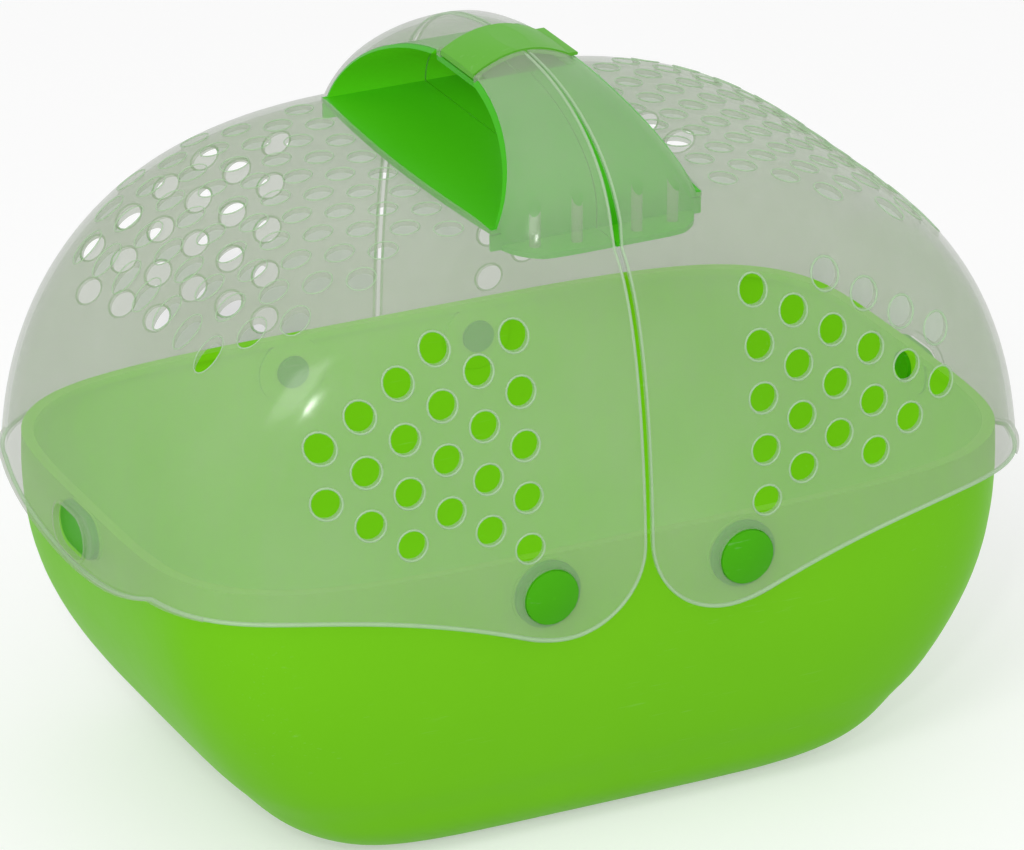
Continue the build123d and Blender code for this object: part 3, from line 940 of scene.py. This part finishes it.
class CARRIER_OT_clip(bpy.types.Operator):
    """Finishes the clip over the handle and its pin"""

    bl_idname = "carrier.clip"
    bl_label = "Handle Clip"

    def execute(self, context):
        green = np.array(context.scene.carrier_finish.clip_green)
        finish = plastic("clip_plastic", green, green * 1.04, roughness=0.36, wear=0.25, gloss=0.15)
        dress("handle_clip", finish)
        dress("clip_hinge_pin", plastic("pin_plastic", green * 0.9, green * 0.94, roughness=0.4))
        return {"FINISHED"}


class CARRIER_OT_knobs(bpy.types.Operator):
    """Finishes the pivot knobs and the end buttons"""

    bl_idname = "carrier.knobs"
    bl_label = "Knobs and Buttons"

    def execute(self, context):
        green = np.array(context.scene.carrier_finish.knob_green)
        clouds = green * (1.1, 1.04, 1.2)
        finish = plastic("knob_plastic", green, clouds, roughness=0.36, wear=0.25, gloss=0.12)
        for name in nodes:
            if name.endswith(("_knob", "_button")):
                dress(name, finish)
        return {"FINISHED"}


class CARRIER_OT_stage(bpy.types.Operator):
    """Sets the pale floor, the soft lamps and the camera"""

    bl_idname = "carrier.stage"
    bl_label = "Stage"

    def execute(self, context):
        stage = context.scene.carrier_stage
        self.make_floor()
        self.make_world(context.scene, stage.sky)
        self.make_lamp("key", place=(-1.5, -1.4, 1.9), size=0.9, power=stage.key_power)
        self.make_lamp("flash", place=(-1.03, -1.79, 1.31), size=0.13, power=stage.flash_power)
        self.make_lamp("fill", place=(1.8, -1.2, 1.0), size=1.2, power=stage.fill_power)
        self.make_camera(context.scene, stage)
        return {"FINISHED"}

    def make_floor(self):
        """A wide pale plane that keeps the shadow and is white to the camera, with a soft shadow
        painted behind the object.
        """
        half = floor_half_width
        mesh = bpy.data.meshes.new("floor")
        corners = [(-half, -half, 0), (half, -half, 0), (half, half, 0), (-half, half, 0)]
        mesh.from_pydata(corners, [], [(0, 1, 2, 3)])
        floor = bpy.data.objects.new("floor", mesh)
        bpy.context.scene.collection.objects.link(floor)
        material = bpy.data.materials.new("floor_paper")
        material.use_nodes = True
        tree = material.node_tree
        shader = tree.nodes["Principled BSDF"]
        shader.inputs["Base Color"].default_value = (floor_grey, floor_grey, floor_grey, 1.0)
        shader.inputs["Roughness"].default_value = 0.9
        shader.inputs["Emission Color"].default_value = (1.0, 1.0, 1.0, 1.0)
        seen, bare = self.seen_and_bare(tree)
        white = spread(tree, bare, 0.0, 1.0, floor_white_through_lid, floor_white)
        # painted shadow: the floor's white is dimmed in a strip behind the object
        glow = arithmetic(tree, "MULTIPLY", white, self.white_less_painted_shadow(tree))
        link(tree, arithmetic(tree, "MULTIPLY", seen, glow), shader.inputs["Emission Strength"])
        floor.data.materials.append(material)

    def seen_and_bare(self, tree):
        """1 for a ray from the camera, gloss or glass, and 1 where no frosted wall is before it."""
        ray = tree.nodes.new("ShaderNodeLightPath").outputs
        seen = arithmetic(tree, "MAXIMUM", ray["Is Camera Ray"], ray["Is Glossy Ray"])
        seen = arithmetic(tree, "MAXIMUM", seen, ray["Is Transmission Ray"])
        return seen, arithmetic(tree, "LESS_THAN", ray["Transparent Depth"], 0.5)

    def white_less_painted_shadow(self, tree):
        """The floor's white, less a soft shadow painted behind the object, where lamps at the front
        would cast one.

        The shade is a strip that runs from under the tub to the back right. Along it, it
        comes in over the start, widens, and goes out over the end. Across it, it fades over
        the soft side, a share of its half width.
        """
        place = tree.nodes.new("ShaderNodeTexCoord").outputs["Object"]
        turned = add_node(tree, "ShaderNodeMapping", {"Rotation": (0.0, 0.0, -shade_heading)})
        link(tree, place, turned.inputs["Vector"])
        split = add_node(tree, "ShaderNodeSeparateXYZ")
        link(tree, turned.outputs["Vector"], split.inputs["Vector"])
        along = split.outputs["X"]
        width = spread(tree, along, *shade_widening, *shade_half_width)
        aside = arithmetic(tree, "ABSOLUTE", split.outputs["Y"])
        aside = arithmetic(tree, "DIVIDE", aside, width)
        shaded = arithmetic(
            tree,
            "MULTIPLY",
            spread(tree, aside, *shade_soft_side, 1.0, 0.0),
            spread(tree, along, *shade_end, 1.0, 0.0),
        )
        shaded = arithmetic(tree, "MULTIPLY", shaded, spread(tree, along, *shade_start))
        shaded = arithmetic(tree, "MULTIPLY", shaded, shade_strength)
        return arithmetic(tree, "SUBTRACT", 1.0, shaded)

    def make_world(self, scene, strength):
        """Plain white light from all round, a full white where it is seen directly."""
        world = bpy.data.worlds.new("studio")
        world.use_nodes = True
        tree = world.node_tree
        background = tree.nodes["Background"]
        background.inputs["Color"].default_value = (1.0, 1.0, 1.0, 1.0)
        seen = arithmetic(tree, "MULTIPLY", *self.seen_and_bare(tree))
        link(tree, spread(tree, seen, 0.0, 1.0, strength, 1.0), background.inputs["Strength"])
        scene.world = world

    def make_lamp(self, name, place, size, power):
        """A square soft lamp that looks at the middle of the object."""
        lamp = bpy.data.lights.new(name, "AREA")
        lamp.size = size
        lamp.energy = power
        holder = bpy.data.objects.new(name, lamp)
        holder.location = place
        aim = Vector(lamp_aim) - Vector(place)
        holder.rotation_euler = aim.to_track_quat("-Z", "Y").to_euler()
        bpy.context.scene.collection.objects.link(holder)

    def make_camera(self, scene, stage):
        """The photograph's camera: its angles, distance and lens, and a small slide to frame."""
        turn, rise = stage.azimuth, stage.elevation
        back = Vector(
            (math.sin(turn) * math.cos(rise), -math.cos(turn) * math.cos(rise), math.sin(rise))
        )
        right = Vector((math.cos(turn), math.sin(turn), 0.0))
        up = back.cross(right)
        camera = bpy.data.cameras.new("camera")
        camera.lens = stage.lens
        camera.sensor_width = 36.0
        camera.clip_end = 50.0
        holder = bpy.data.objects.new("camera", camera)
        framed = Vector((0.0, 0.0, framed_height)) + right * framed_aside + up * framed_up
        holder.location = framed + back * stage.distance
        holder.rotation_euler = (-back).to_track_quat("-Z", "Y").to_euler()
        scene.collection.objects.link(holder)
        scene.camera = holder
        scene.view_settings.view_transform = "Standard"


operators = (
    CARRIER_OT_tub,
    CARRIER_OT_lids,
    CARRIER_OT_beads,
    CARRIER_OT_vent_rims,
    CARRIER_OT_liners,
    CARRIER_OT_clip,
    CARRIER_OT_knobs,
    CARRIER_OT_stage,
)


class CARRIER_PT_panel(bpy.types.Panel):
    """Lists the carrier's settings and pieces in the sidebar"""

    bl_label = "Carrier"
    bl_idname = "CARRIER_PT_panel"
    bl_space_type = "VIEW_3D"
    bl_region_type = "UI"
    bl_category = "Carrier"

    def draw(self, context):
        scene = context.scene
        for settings in (scene.carrier_finish, scene.carrier_trim, scene.carrier_stage):
            for name in settings.bl_rna.properties.keys():
                if name not in ("rna_type", "name"):
                    self.layout.prop(settings, name)
        for operator in operators:
            self.layout.operator(operator.bl_idname)


classes = (CarrierFinish, CarrierTrim, CarrierStage, *operators, CARRIER_PT_panel)


def register():
    """Adds the classes and the scene's settings."""
    for cls in classes:
        bpy.utils.register_class(cls)
    bpy.types.Scene.carrier_finish = bpy.props.PointerProperty(type=CarrierFinish)
    bpy.types.Scene.carrier_trim = bpy.props.PointerProperty(type=CarrierTrim)
    bpy.types.Scene.carrier_stage = bpy.props.PointerProperty(type=CarrierStage)


def unregister():
    """Takes the settings and the classes away again."""
    del bpy.types.Scene.carrier_finish
    del bpy.types.Scene.carrier_trim
    del bpy.types.Scene.carrier_stage
    for cls in reversed(classes):
        bpy.utils.unregister_class(cls)


def main():
    """Registers the classes, then builds every piece and the stage."""
    register()
    for operator in operators:
        group, name = operator.bl_idname.split(".")
        getattr(getattr(bpy.ops, group), name)()


if __name__ == "__main__":
    main()
